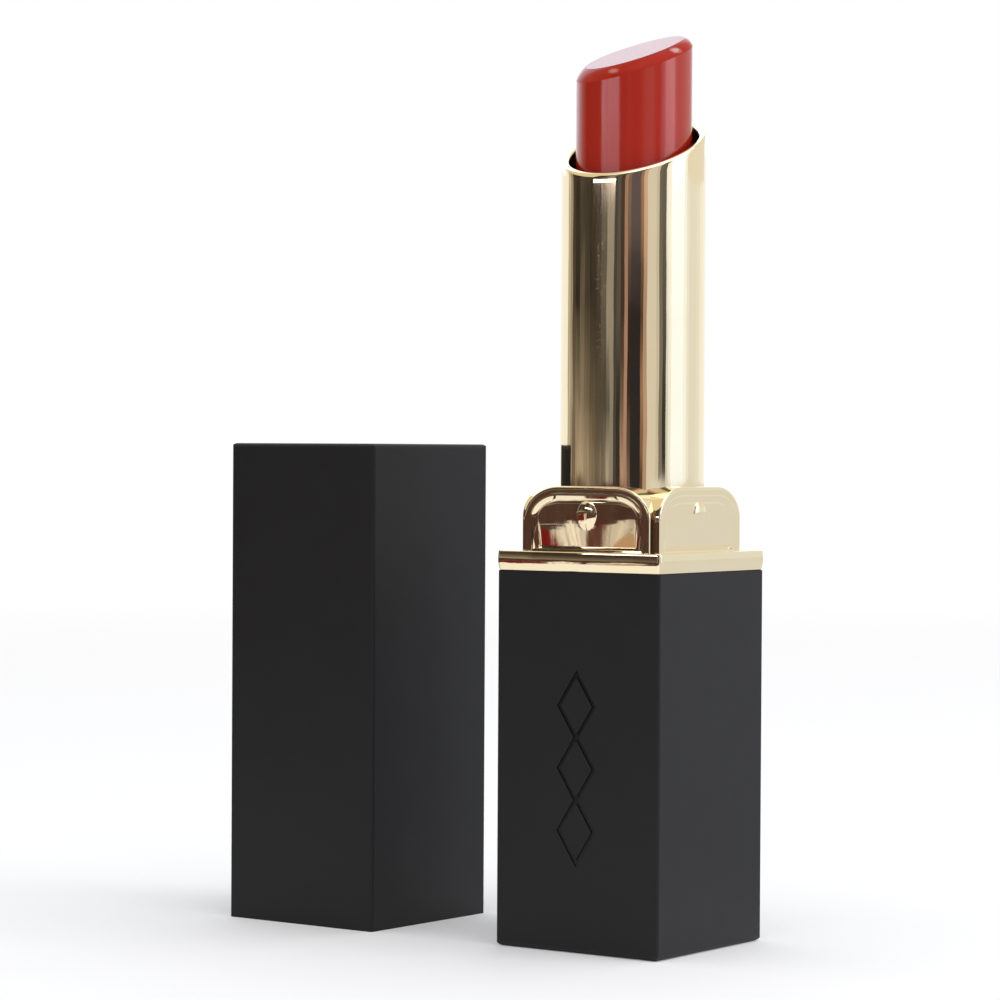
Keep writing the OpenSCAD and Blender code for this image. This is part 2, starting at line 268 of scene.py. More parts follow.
def wax():
    """Red lipstick: satin wax with faint upright drag marks; its rounded edge is duller as painted
    shade and carries two painted highlights.
    """
    material, nodes, links, shader = new_material("wax")
    drag = noise(nodes, links, object_coords(nodes, links, (2500, 2500, 90)), 1.0, 4)
    cloud = noise(nodes, links, object_coords(nodes, links), 0.4, 3)
    colour = mix_colours(nodes, links, cloud, (0.300, 0.0128, 0.0054), (0.325, 0.0158, 0.0068))
    links.new(colour, shader.inputs["Base Color"])
    links.new(to_range(nodes, links, drag, 0.13, 0.18), shader.inputs["Roughness"])
    facing = nodes.new("ShaderNodeSeparateXYZ")
    coords = nodes.new("ShaderNodeTexCoord")
    links.new(coords.outputs["Normal"], facing.inputs["Vector"])
    # painted shade: the rounded edge, which faces up, is given a weaker reflection than the side
    # and the flat
    edge_painted_shade = to_range(nodes, links, facing.outputs["Z"], 0.50, 0.10, 0.10, 0.32)
    polished = to_range(nodes, links, facing.outputs["Z"], 0, 0.40, 0.90, 0.925)
    shine = calculate(nodes, links, "ADD", edge_painted_shade, polished)
    links.new(shine, shader.inputs["Specular IOR Level"])
    # painted highlights: a strong, glossy coat only at the two spots on the rounded edge
    first, second = [spot(nodes, links, *glint) for glint in PAINTED_HIGHLIGHTS]
    painted_highlights = calculate(nodes, links, "MAXIMUM", first, second)
    links.new(painted_highlights, shader.inputs["Coat Weight"])
    shader.inputs["Coat IOR"].default_value = 2.8
    shader.inputs["Coat Roughness"].default_value = 0.1
    shader.inputs["Subsurface Weight"].default_value = 0.06
    shader.inputs["Subsurface Radius"].default_value = (1.0, 0.25, 0.15)
    shader.inputs["Subsurface Scale"].default_value = 0.001
    add_bump(nodes, links, shader, drag, 0.06, 0.00004)
    return material


def moulded_plastic(name, first, second, roughness):
    """Moulded plastic with a faint flow pattern and a fine grain."""
    material, nodes, links, shader = new_material(name)
    coords = object_coords(nodes, links)
    flow = noise(nodes, links, coords, 0.3, 4)
    grain = noise(nodes, links, coords, 9, 3)
    links.new(mix_colours(nodes, links, flow, first, second), shader.inputs["Base Color"])
    links.new(to_range(nodes, links, grain, roughness - 0.04, roughness + 0.06),
              shader.inputs["Roughness"])
    add_bump(nodes, links, shader, grain, 0.10, 0.00002)
    return material


def turned_steel():
    """Steel with fine turning lines."""
    material, nodes, links, shader = new_material("turned_steel")
    lines = noise(nodes, links, object_coords(nodes, links, (150, 150, 9000)), 1.0, 4)
    colour = mix_colours(nodes, links, lines, (0.48, 0.48, 0.49), (0.62, 0.62, 0.63))
    links.new(colour, shader.inputs["Base Color"])
    links.new(to_range(nodes, links, lines, 0.25, 0.42), shader.inputs["Roughness"])
    shader.inputs["Metallic"].default_value = 1
    add_bump(nodes, links, shader, lines, 0.10, 0.00003)
    return material


def ring_rubber():
    """Black rubber with a fine grain."""
    material, nodes, links, shader = new_material("ring_rubber")
    grain = noise(nodes, links, object_coords(nodes, links), 6, 4)
    colour = mix_colours(nodes, links, grain, (0.018, 0.018, 0.018), (0.032, 0.032, 0.031))
    links.new(colour, shader.inputs["Base Color"])
    links.new(to_range(nodes, links, grain, 0.55, 0.75), shader.inputs["Roughness"])
    add_bump(nodes, links, shader, grain, 0.15, 0.00003)
    return material


def label_paper():
    """Blank silvery paper label with visible fibres."""
    material, nodes, links, shader = new_material("label_paper")
    fibre = noise(nodes, links, object_coords(nodes, links, (900, 2600, 1000)), 2.0, 5)
    colour = mix_colours(nodes, links, fibre, (0.52, 0.50, 0.46), (0.68, 0.66, 0.61))
    links.new(colour, shader.inputs["Base Color"])
    links.new(to_range(nodes, links, fibre, 0.38, 0.55), shader.inputs["Roughness"])
    add_bump(nodes, links, shader, fibre, 0.12, 0.00003)
    return material


# ---------------------------------------------------------------- mesh helpers

def mesh_object(name, points, faces):
    mesh = bpy.data.meshes.new(name)
    mesh.from_pydata([tuple(p) for p in points], [], faces)
    mesh.update()
    made = bpy.data.objects.new(name, mesh)
    bpy.context.scene.collection.objects.link(made)
    return made


def ring_faces(rings, count, first=0):
    """Quads between rings of count points each."""
    faces = []
    for r in range(rings - 1):
        a, b = first + r * count, first + (r + 1) * count
        for i in range(count):
            j = (i + 1) % count
            faces.append((a + i, a + j, b + j, b + i))
    return faces


def fan_faces(tip, first, count, upwards):
    """Triangles from a ring of count points to a tip above it, or below it."""
    pairs = [(first + i, first + (i + 1) % count) for i in range(count)]
    return [(tip, a, b) if upwards else (tip, b, a) for a, b in pairs]


def level_ring(radius, height, count):
    return [(radius * cos(2 * pi * i / count), radius * sin(2 * pi * i / count), height)
            for i in range(count)]


def sloped_ring(radius, middle, slope, direction, fall, count):
    """Ring at a radius in a plane that climbs by slope towards direction, and fall above it."""
    points = []
    for i in range(count):
        t = 2 * pi * i / count
        z = middle + tan(slope) * radius * cos(t - direction) + fall
        points.append((radius * cos(t), radius * sin(t), z))
    return points


def apply_modifiers(made):
    evaluated = made.evaluated_get(bpy.context.evaluated_depsgraph_get())
    mesh = bpy.data.meshes.new_from_object(evaluated)
    made.modifiers.clear()
    made.data = mesh


def face_outwards(made):
    """Faces turned outwards, because the boolean needs both meshes so."""
    mesh = bmesh.new()
    mesh.from_mesh(made.data)
    bmesh.ops.recalc_face_normals(mesh, faces=mesh.faces)
    mesh.to_mesh(made.data)
    mesh.free()


def combine(target, tool, operation):
    """Boolean of two closed meshes, with the tool used up."""
    face_outwards(target)
    face_outwards(tool)
    modifier = target.modifiers.new("combine", "BOOLEAN")
    modifier.operation = operation
    modifier.solver = "EXACT"
    modifier.object = tool
    bpy.context.view_layer.update()
    apply_modifiers(target)
    bpy.data.objects.remove(tool)


def tidy_mesh(made, crease):
    """Millimetres to metres, faces out, and smooth shading except at edges above crease."""
    mesh = bmesh.new()
    mesh.from_mesh(made.data)
    bmesh.ops.remove_doubles(mesh, verts=mesh.verts, dist=0.0005)
    bmesh.ops.recalc_face_normals(mesh, faces=mesh.faces)
    bmesh.ops.scale(mesh, vec=(MM, MM, MM), verts=mesh.verts)
    mesh.to_mesh(made.data)
    mesh.free()
    made.data.shade_smooth()
    made.data.set_sharp_from_angle(angle=crease)


def finish_piece(made, body, replaced, material):
    made.data.materials.clear()
    made.data.materials.append(material)
    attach(made, body)
    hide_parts(replaced)


def lathe(name, profile, count):
    """Closed turned solid from (radius, height) pairs that start and end on the axis."""
    points = [(0, 0, profile[0][1])]
    inner = profile[1:-1]
    for radius, height in inner:
        points += level_ring(radius, height, count)
    points.append((0, 0, profile[-1][1]))
    faces = ring_faces(len(inner), count, 1)
    faces += fan_faces(0, 1, count, False)
    faces += fan_faces(len(points) - 1, 1 + (len(inner) - 1) * count, count, True)
    return mesh_object(name, points, faces)


# ---------------------------------------------------------------- collar

FACE_ACROSS = 17.0     # block, face to face
FACE_WIDE = 15.5
FACE_HIGH = 6.7
FACE_FOOT = -0.3       # the arms reach this far into the band
CORNER_WIDE = 4.35     # elliptical top corners of a face
CORNER_HIGH = 3.3
EDGE_ROUNDING = 0.2
RIM = (0.98, 0.95)     # width of a face's rim, at its top and at its sides
RIM_FLAT = 0.35        # a ring of points on the rim's flat, which keeps the rounding crisp
GROOVE_START = 0.62    # a shallow groove runs from here to the rim's inner edge
GROOVE_DEEP = 0.006
PANEL_INSET = (1.68, 1.66)   # from a face's outline to the foot of its hollow, likewise
PANEL_SUNK = 0.25
PANEL_FOOT = 0.17      # the hollow starts this far above the band,
PANEL_FOOT_RISE = 0.06       # and its lower edge climbs by this much as it sinks in
PANEL_CENTRE = 0.46    # the rings of a panel close at this share of its face's height
PANEL_CROWN = 0.12     # bulge of a panel across its width
PANEL_DROOP = 0.021    # and how it falls back below the bump, per millimetre squared
BAND_CORNER = 0.4      # radius of its upright edges
BAND_ROUNDING = 0.12   # and of its level ones
SKIRT_CORNER = 0.35
BAND_CROWN = (0.13, 0.04)    # how far the band falls back at its bottom and at its top
BAND_BEND = 0.25       # share of its half height over which the band bends
BUMP_WIDE, BUMP_HIGH, BUMP_DEEP = 2.66, 3.36, 1.0
BUMP_UP = 3.55
BUMP_SUNK = 0.33       # its centre lies this far inside the face
BUMP_FLARE = 0.08      # it is wider at its top by this share,
BUMP_LEAN = 0.17       # and its top stands this much further out, its bottom further in
BORE_GAP = 0.1         # between the tube and the collar round it
BORE_STEP = 0.3        # the bore is wider than that by this much, and from this far below the tube
MOUTH_CHAMFER = 0.17


def arch_outline(top_inset, side_inset, foot):
    """Outline of an arched face as (across, up) pairs, inset from its top and its sides."""
    half, top = FACE_WIDE / 2 - side_inset, FACE_HIGH - top_inset
    wide, high = CORNER_WIDE - side_inset, CORNER_HIGH - top_inset
    outline = []
    along, side, corner, ridge = 24, 10, 22, 14
    for i in range(along):
        outline.append((-half + 2 * half * i / along, foot))
    for i in range(side):
        outline.append((half, foot + (top - high - foot) * i / side))
    for i in range(corner):
        a = pi / 2 * i / corner
        outline.append((half - wide + wide * cos(a), top - high + high * sin(a)))
    for i in range(ridge):
        outline.append(((half - wide) * (1 - 2 * i / ridge), top))
    for i in range(corner):
        a = pi / 2 * i / corner
        outline.append((wide - half - wide * sin(a), top - high + high * cos(a)))
    for i in range(side):
        outline.append((-half, top - high - (top - high - foot) * i / side))
    return outline


def face_profile():
    """Rings from a face's side to its panel.

    Each is its top inset, side inset, foot, distance from the axis and share of the crown.
    """
    face = FACE_ACROSS / 2
    slant = RIM[1] / RIM[0]
    steps = []
    for i in range(7):
        a = pi / 2 * i / 6
        inset = EDGE_ROUNDING * (1 - cos(a))
        out = face - EDGE_ROUNDING + EDGE_ROUNDING * sin(a)
        steps.append((inset, inset * slant, FACE_FOOT, out, 0))
    for inset in (RIM_FLAT, GROOVE_START):
        steps.append((inset, inset * slant, FACE_FOOT, face, 0))
    for i in range(1, 9):
        t = i / 8
        inset = GROOVE_START + (RIM[0] - GROOVE_START) * t
        out = face - GROOVE_DEEP * (1 - cos(2 * pi * t)) / 2
        steps.append((inset, inset * slant, FACE_FOOT, out, 0))
    for i in range(1, 15):
        t = i / 14
        top_inset, side_inset = [rim + (panel - rim) * t for rim, panel in zip(RIM, PANEL_INSET)]
        out = face - PANEL_SUNK * (1 - (1 - t) ** 2)
        steps.append((top_inset, side_inset, PANEL_FOOT + PANEL_FOOT_RISE * t, out, t))
    return steps


def panel_crown(across, up):
    """How far a face's panel bulges from a flat one: crowned across, drooping to its foot."""
    u = min(1, abs(across) / (FACE_WIDE / 2 - PANEL_INSET[1]))
    fall = max(0, BUMP_UP - up)
    return PANEL_CROWN * (1 - u * u) - PANEL_DROOP * fall * fall


def arm(name, turn, drop):
    """One arched prism with a panelled face at each end, turned and let down by drop."""
    rings = []
    for top_inset, side_inset, foot, out, share in face_profile():
        outline = arch_outline(top_inset, side_inset, foot)
        rings.append([(x, out + share * panel_crown(x, z), z) for x, z in outline])
    middle = FACE_HIGH * PANEL_CENTRE
    for i in range(1, 16):
        s = 1 - i / 16
        ring = [(x * s, middle + (z - middle) * s) for x, z in outline]
        rings.append([(x, out + panel_crown(x, z), z) for x, z in ring])
    count = len(rings[0])
    # The far half's outline runs the other way round, so its points are matched by mirroring
    points = []
    for ring in reversed(rings):
        points += [(x, -y, z) for x, y, z in ring]
    for ring in rings:
        points += [(x, y, z) for x, y, z in ring]
    faces = ring_faces(2 * len(rings), count)
    near, far = len(points), len(points) + 1
    centre_out = out + panel_crown(0, middle)
    points += [(0, -centre_out, middle), (0, centre_out, middle)]
    faces += fan_faces(near, 0, count, False)
    faces += fan_faces(far, (2 * len(rings) - 1) * count, count, True)
    made = mesh_object(name, points, faces)
    made.data.transform(Matrix.Rotation(turn, 4, "Z") @ Matrix.Translation((0, 0, -drop)))
    return made


def square_outline(half, corner):
    """Square with rounded corners, as (x, y) pairs."""
    steps = 7
    outline = []
    for quarter in range(4):
        start = quarter * pi / 2
        for i in range(steps + 1):
            a = start + pi / 2 * i / steps
            cx = (half - corner) * (1 if quarter in (0, 3) else -1)
            cy = (half - corner) * (1 if quarter in (0, 1) else -1)
            outline.append((cx + corner * cos(a), cy + corner * sin(a)))
    return outline


def square_tower(name, levels, corner):
    """Closed square solid from (half side, height) pairs, its upright edges rounded by corner."""
    rings = [[(x, y, z) for x, y in square_outline(half, corner)] for half, z in levels]
    count = len(rings[0])
    points = [p for ring in rings for p in ring]
    faces = ring_faces(len(rings), count)
    faces.append(tuple(reversed(range(count))))
    faces.append(tuple(range((len(rings) - 1) * count, len(rings) * count)))
    return mesh_object(name, points, faces)


def band_levels(low, high, half):
    """Side view of the gold band: crisp rounded edges and a crown that falls away downwards."""
    rounding = BAND_ROUNDING
    fall_low, fall_high = BAND_CROWN
    levels = []
    for i in range(5):
        a = pi / 2 * i / 4
        levels.append((half - fall_low - rounding * (1 - sin(a)), low + rounding * (1 - cos(a))))
    for i in range(1, 16):
        t = 2 * i / 16 - 1
        if t >= 0:
            fall = fall_high * t * t
        elif -t < BAND_BEND:
            fall = fall_low * (t * t / 2 / BAND_BEND) / (1 - BAND_BEND / 2)
        else:
            fall = fall_low * (-t - BAND_BEND / 2) / (1 - BAND_BEND / 2)
        levels.append((half - fall, low + rounding + (high - low - 2 * rounding) * i / 16))
    for i in range(5):
        a = pi / 2 * i / 4
        levels.append((half - fall_high - rounding * (1 - cos(a)), high - rounding * (1 - sin(a))))
    return levels


def snap_bump(turn):
    """Oval snap bump whose front leans forward at its top."""
    rings, count = 14, 40
    points = []
    for r in range(rings):
        a = pi * (r + 0.5) / rings - pi / 2
        for i in range(count):
            t = 2 * pi * i / count
            up = sin(t) * cos(a)
            across = cos(t) * cos(a) * (1 + BUMP_FLARE * up)
            inwards = sin(a) * BUMP_DEEP / 2 - BUMP_LEAN * up
            points.append((across * BUMP_WIDE / 2, inwards, up * BUMP_HIGH / 2))
    faces = ring_faces(rings, count)
    front, back = len(points), len(points) + 1
    points += [(0, -BUMP_DEEP / 2, 0), (0, BUMP_DEEP / 2, 0)]
    faces += fan_faces(front, 0, count, False)
    faces += fan_faces(back, (rings - 1) * count, count, True)
    made = mesh_object("bump", points, faces)
    place = Matrix.Translation((0, BUMP_SUNK - FACE_ACROSS / 2, BUMP_UP))
    made.data.transform(Matrix.Rotation(turn, 4, "Z") @ place)
    return made


def build_collar(material):
    """Gold collar: band and skirt, two crossed arms with panelled faces, and four bumps."""
    low, high = [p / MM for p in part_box("collar")]
    band_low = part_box("base_shell")[1].z / MM
    block_low = high.z - FACE_HIGH
    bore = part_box("tube_shell")[1].x / MM + BORE_GAP
    half = (high.x - low.x) / 2
    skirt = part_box("base_core")[1].x / MM
    tube_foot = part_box("tube_shell")[0].z / MM
    collar = square_tower("collar_plated", band_levels(band_low, block_low, half), BAND_CORNER)
    parts = [square_tower("skirt", [(skirt, low.z), (skirt, band_low + 0.4)], SKIRT_CORNER)]
    # The second arm lies a hair lower, so that the boolean meets no two faces in one plane
    parts += [arm("arm", 0, 0), arm("arm", pi / 2, 0.004)]
    parts += [snap_bump(i * pi / 2) for i in range(4)]
    for part in parts[1:]:
        part.data.transform(Matrix.Translation((0, 0, block_low)))
    for part in parts:
        combine(collar, part, "UNION")
    wide = bore + BORE_STEP
    shoulder = tube_foot - BORE_STEP
    mouth = bore + MOUTH_CHAMFER
    bore_profile = [(0, low.z - 1), (wide, low.z - 1), (wide, shoulder), (bore, shoulder),
                    (bore, high.z - 0.12), (mouth, high.z + 0.05), (mouth, high.z + 1),
                    (0, high.z + 1)]
    combine(collar, lathe("bore", bore_profile, 192), "DIFFERENCE")
    tidy_mesh(collar, radians(26))
    finish_piece(collar, "base", "collar", material)


# ---------------------------------------------------------------- tube

LIP_SLOPE = radians(24.6)
LIP_DIRECTION = radians(96.7)      # towards which the lip climbs
LIP_OPENING = 6.7                  # radius inside the rolled lip
TUBE_WALL = 0.35
BORE_SHADE_FROM = 0.2                 # the bore's painted shade starts this far below the lip


def build_tube(material, inside):
    """Gold tube with a slanted, rolled lip and a bore in painted shade."""
    low, high = [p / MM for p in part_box("tube_shell")]
    radius = high.x
    inner = radius - TUBE_WALL
    middle = high.z - tan(LIP_SLOPE) * radius
    bead = (radius - LIP_OPENING) / 2
    count = 288
    # Rows parallel to the lip, as (radius, distance above it): outside, rolled bead, bore
    sloped = [(radius, -1.6), (radius, -0.9)]
    for i in range(13):
        a = pi * i / 12
        sloped.append((radius - bead + bead * cos(a), bead * (sin(a) - 1) * 0.95))
    sloped += [(LIP_OPENING + 0.02, -0.55), (inner - 0.1, -0.75), (inner, -0.95), (inner, -1.6)]
    flat = [(inner, low.z), (radius - 0.06, low.z), (radius, low.z + 0.06), (radius, low.z + 0.5)]
    points = []
    for rho, z in flat:
        points += level_ring(rho, z, count)
    for rho, fall in sloped:
        points += sloped_ring(rho, middle, LIP_SLOPE, LIP_DIRECTION, fall, count)
    rows = len(flat) + len(sloped)
    faces = ring_faces(rows, count)
    last = (rows - 1) * count
    faces += [(last + i, last + (i + 1) % count, (i + 1) % count, i) for i in range(count)]
    tube = mesh_object("tube_plated", points, faces)
    tidy_mesh(tube, radians(40))
    finish_piece(tube, "tube", "tube_shell", material)
    # the bore's faces get painted shade and a painted red reflection of the wax
    tube.data.materials.append(inside)
    uphill = Vector((cos(LIP_DIRECTION), sin(LIP_DIRECTION))) * tan(LIP_SLOPE)
    for face in tube.data.polygons:
        below_lip = middle + (uphill.dot(face.center.xy) - face.center.z) / MM
        if below_lip > BORE_SHADE_FROM and face.normal.xy.dot(face.center.xy) < 0:
            face.material_index = 1


# ---------------------------------------------------------------- bullet

TIP_SLOPE = radians(21.8)
TIP_DIRECTION = radians(74)        # towards which the tip climbs
TIP_MARGIN = 0.03                  # keeps the tip inside the CAD box
CUP_WALL = 0.55                    # from the cup's outside to the stub that stands in it
FLAT_RADIUS = 5.08                 # of the tip's flat, inside its rounded edge
EDGE_DROP = 1.10                   # height of the rounded edge
EDGE_SLOPES = (radians(66), radians(22))     # of that edge, at the side and at the flat


def build_bullet(material):
    """Lipstick with a slanted tip and a rounded edge, on a stub that stands in the cup."""
    low, high = [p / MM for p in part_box("bullet")]
    radius = (high.x - low.x) / 2
    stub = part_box("cup")[1].y / MM - CUP_WALL
    cup_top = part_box("cup")[1].z / MM
    middle = high.z - tan(TIP_SLOPE) * FLAT_RADIUS - TIP_MARGIN
    count = 240
    points = [(0, 0, low.z)]
    level = [(stub * 0.5, low.z), (stub - 0.2, low.z), (stub, low.z + 0.2), (stub, cup_top),
             (radius - 0.15, cup_top), (radius, cup_top + 0.15), (radius, cup_top + 2)]
    for rho, z in level:
        points += level_ring(rho, z, count)
    # Rows parallel to the tip's flat, as (radius, distance above it): side, rounded edge, flat
    sloped = [(radius, -4), (radius, -2.2), (radius, -1.5)]
    inset = radius - FLAT_RADIUS
    steep, gentle = EDGE_SLOPES
    steps = 14
    for i in range(steps + 1):
        a = steep + (gentle - steep) * i / steps
        inwards = inset * (sin(steep) - sin(a)) / (sin(steep) - sin(gentle))
        fall = -EDGE_DROP * (cos(gentle) - cos(a)) / (cos(gentle) - cos(steep))
        sloped.append((radius - inwards, fall))
    sloped += [(FLAT_RADIUS * s, 0.0) for s in (0.96, 0.85, 0.65, 0.4, 0.18)]
    for rho, fall in sloped:
        points += sloped_ring(rho, middle, TIP_SLOPE, TIP_DIRECTION, fall, count)
    rows = len(level) + len(sloped)
    points.append((0, 0, middle))
    faces = ring_faces(rows, count, 1)
    faces += fan_faces(0, 1, count, False)
    faces += fan_faces(len(points) - 1, 1 + (rows - 1) * count, count, True)
    bullet = mesh_object("lipstick_bullet", points, faces)
    tidy_mesh(bullet, radians(19))
    finish_piece(bullet, "lipstick", "bullet", material)


# ---------------------------------------------------------------- stage

FLOOR_SIZE = 12.0         # half a side, in metres
FLOOR_FADE = (0.08, 1)    # distances between which the floor fades,
FLOOR_GLOW = (0.14, 0.80)     # and its share of white at those


def add_floor():
    """Pale floor that fades to the white of the backdrop, so that no horizon shows; its glow is
    painted light, which near the set lightens the floor's shadows.
    """
    corners = [(x * FLOOR_SIZE, y * FLOOR_SIZE, 0) for x, y in ((-1, -1), (1, -1), (1, 1), (-1, 1))]
    floor = mesh_object("floor", corners, [(0, 1, 2, 3)])
    material, nodes, links, shader = new_material("floor_paper")
    shader.inputs["Base Color"].default_value = (0.80, 0.80, 0.815, 1)
    shader.inputs["Roughness"].default_value = 0.8
    shader.inputs["Specular IOR Level"].default_value = 0.1
    coords = nodes.new("ShaderNodeTexCoord")
    length = nodes.new("ShaderNodeVectorMath")
    length.operation = "LENGTH"
    links.new(coords.outputs["Object"], length.inputs[0])
    # painted light: the floor's glow lightens its shadows near the set and turns it white far off
    fade = to_range(nodes, links, length.outputs["Value"], *FLOOR_FADE, *FLOOR_GLOW)
    glow = nodes.new("ShaderNodeEmission")
    mix = nodes.new("ShaderNodeMixShader")
    links.new(fade, mix.inputs["Fac"])
    links.new(shader.outputs["BSDF"], mix.inputs[1])
    links.new(glow.outputs["Emission"], mix.inputs[2])
    links.new(mix.outputs["Shader"], nodes["Material Output"].inputs["Surface"])
    floor.data.materials.append(material)


EVEN = ((0, 1), (1, 1))    # levels of a glow that is as strong at every height


def glow_material(name, colour, levels, spread=0, grain=None):
    """Glow whose strength follows height, from (height, strength) levels.

    A spread makes it patchy by that share, in patches of the given grain.
    """
    material = bpy.data.materials.new(name)
    material.use_nodes = True
    nodes, links = material.node_tree.nodes, material.node_tree.links
    nodes.clear()
    output = nodes.new("ShaderNodeOutputMaterial")
    glow = nodes.new("ShaderNodeEmission")
    glow.inputs["Color"].default_value = (*colour, 1)
    links.new(glow.outputs["Emission"], output.inputs["Surface"])
    height = nodes.new("ShaderNodeSeparateXYZ")
    coords = nodes.new("ShaderNodeTexCoord")
    links.new(coords.outputs["Object"], height.inputs["Vector"])
    strength = levels[0][1]
    for (z, low), (z_next, high) in zip(levels, levels[1:]):
        step = to_range(nodes, links, height.outputs["Z"], 0, high - low, z, z_next)
        strength = calculate(nodes, links, "ADD", step, strength)
    if spread:
        texture = noise(nodes, links, object_coords(nodes, links, grain), 1.0, 3)
        patchy = to_range(nodes, links, texture, 1 - spread, 1 + spread)
        strength = calculate(nodes, links, "MULTIPLY", patchy, strength)
    links.new(strength, glow.inputs["Strength"])
    return material


def only_reflected(card):
    """Only reflections show the card: it isn't seen directly and adds no soft light or shadow."""
    card.visible_camera = False
    card.visible_diffuse = False
    card.visible_shadow = False


WALL_RADIUS = 0.62
PANEL_RADIUS = 0.60       # panels stand just in front of the walls,
LOW_RADIUS = 0.58         # low cards in front of the panels,
CLOTH_RADIUS = 0.50       # and hanging cloths in front of them all
EYE_HEIGHT = AIM_HEIGHT + VIEW_DISTANCE * sin(VIEW_ELEVATION)
COLLAR_HEIGHT = 0.0444    # middle of the collar's faces
STEP_HEIGHT = 0.0464      # top of their panels
CARD_FOOT = 0.001         # walls and low cards stand this far above the floor
SHEET_LAYER = 0.0004      # step in height from one sheet on the floor to the next
CLOTH_LAYER = 0.0008
STRIP_LAYER = 0.0024
LOW_TOP = 48              # mirror height where the low cards end
WALL_TOP = 50             # elevation of the walls' tops, in degrees
ROOM_END = 3              # walls that end before this compass are a room's, and patchy
ROOM_SPREAD = 0.22
ROOM_GRAIN = (14, 14, 55)
LOW_GRAIN = (60, 60, 10)
FLEECE_SHADES = (1.25, 1.1, 0.95, 0.6)
CLOTH_SHADES = (1.0, 0.9)
HEIGHTS = (49.6, 56, 66, 76)
# Walls round the set, as the mirror sees them: compass from the front (0 is -Y, 90 is +X),
# colour, and its strength where an upright mirror shows it at the four heights above
WALLS = (
    ("far_wall", -93, -85, (0.54, 0.52, 0.49), 0.8, 0.8, 1, 1.03),
    ("door_edge", -85, -78, (0.35, 0.31, 0.27), 1, 1, 1, 1),
    ("room_corner", -78, -70, (0.196, 0.150, 0.125), 1, 1, 0.40, 0.32),
    ("room_side", -70, -60, (0.375, 0.320, 0.260), 1, 0.75, 0.09, 0.12),
    ("room_wall", -60, -50, (0.42, 0.36, 0.31), 1, 0.68, 0.30, 0.18),
    ("room_middle", -50, -39, (0.36, 0.30, 0.25), 1, 0.60, 0.17, 0.19),
    ("room_olive", -39, -28, (0.25, 0.205, 0.17), 1, 0.52, 0.18, 0.20),
    ("room_dim", -28, -18, (0.195, 0.165, 0.14), 1, 0.43, 0.31, 0.28),
    ("shelf", -18, -9, (0.20, 0.18, 0.165), 1.04, 0.40, 0.60, 0.50),
    ("shelf_light", -9, -3.5, (0.36, 0.33, 0.31), 1, 0.30, 0.92, 0.80),
    ("grey_panel", -3.5, 3, (0.29, 0.27, 0.26), 1, 0.9, 1.1, 1),
    ("dark_gap", 3, 8, (0.068, 0.063, 0.061), 1, 1, 1, 1),
    ("dark_side", 8, 14, (0.10, 0.097, 0.10), 0.38, 0.35, 1, 1),
    ("copper_low", 14, 20, (0.48, 0.32, 0.27), 1, 0.33, 0.12, 0.16),
    ("copper", 20, 25, (0.42, 0.27, 0.24), 1, 1, 0.9, 0.88),
    ("copper_edge", 25, 30, (0.22, 0.15, 0.14), 0.9, 0.16, 0.15, 1),
    ("camera_side", 30, 45.5, (0.030, 0.025, 0.030), 1, 1, 0.9, 4),
    ("peach_edge", 45.5, 50, (0.35, 0.21, 0.15), 0.33, 1, 0.22, 0.95),
    ("peach_wall", 50, 56, (0.50, 0.36, 0.31), 0.87, 1, 0.80, 1.25),
    ("beige_wall", 56, 70.5, (0.71, 0.685, 0.68), 1, 1, 1, 1),
    ("beige_shade", 70.5, 75.5, (0.595, 0.58, 0.56), 1, 1, 1, 1),
    ("light_stand", 75.5, 81.5, (0.20, 0.185, 0.175), 1, 1, 0.95, 0.8),
    ("stand_shade", 81.5, 88, (0.14, 0.13, 0.125), 0.22, 0.33, 0.75, 1),
    ("softbox_rim", 88, 92, (0.76, 0.80, 0.90), 0.88, 0.93, 1.1, 1.28),
    ("softbox_edge", 92, 97, (0.93, 1.00, 1.14), 1, 1, 1.05, 1.1),
    ("right_softbox", 97, 121, (1.06, 1.20, 1.50), 1, 1, 1, 1.1),
    ("softbox_side", 121, 128, (1.00, 1.10, 1.27), 1, 1, 1, 1),
    ("side_light", 128, 134, (0.89, 0.94, 1.04), 1, 1, 1, 1),
    ("side_wall", 134, 155, (0.81, 0.84, 0.88), 1, 1, 1, 1.03),
    ("side_far", 155, 166, (0.85, 0.88, 0.90), 1, 1, 1, 1.03),
    ("side_end", 166, 178, (0.945, 0.975, 1.03), 1, 1, 1, 1),
)
# Lights and drapes: compass, the mirror height where they start, elevation of their top,
# colour and strength
PANELS = (
    ("left_key", -33.9, 4.5, 80.0, 11.5, (1.08, 0.97, 1.06), 3.6),
    ("right_key", 98, 121, 80, 14, (1.08, 0.97, 1.04), 3.6),
    ("back_key", -168, -104, 82, 52, (0.90, 1.00, 1.08), 1.48),
    ("left_above", -80, 4.5, 125, 18, (1.00, 0.90, 0.90), 1.3),
    ("left_high", -104, -36, 160, 75, (0.80, 0.70, 0.52), 1),
    ("side_high", 129, 185, 79.5, 75, (0.84, 0.82, 0.78), 1),
)
# What only the collar is low enough to show: compass, colour and patchiness
LOW_CARDS = (
    ("low_wall", -104, 33, (0.075, 0.040, 0.034), 0.3),
    ("side_low", 62, 222, (0.76, 0.77, 0.80), 0),
)
# Cloths whose ragged far edges the collar's panels show: compass, the elevations between which
# their far edge wanders, how near they spread on the floor, colour and shades
CLOTHS = (
    ("fleece_left", -37.6, -33.3, -8.0, -2.2, 0.15, (0.80, 0.75, 0.74), FLEECE_SHADES),
    ("fleece_right", -31.7, -26, -5.0, -1.8, 0.15, (0.62, 0.56, 0.53), FLEECE_SHADES),
    ("dark_cloth", -33.3, -31.7, -2.6, -1.8, 0.16, (0.105, 0.030, 0.022), CLOTH_SHADES),
    ("red_cloth", -62, -37.6, -7.5, -5.2, 0.14, (0.19, 0.012, 0.013), CLOTH_SHADES),
)
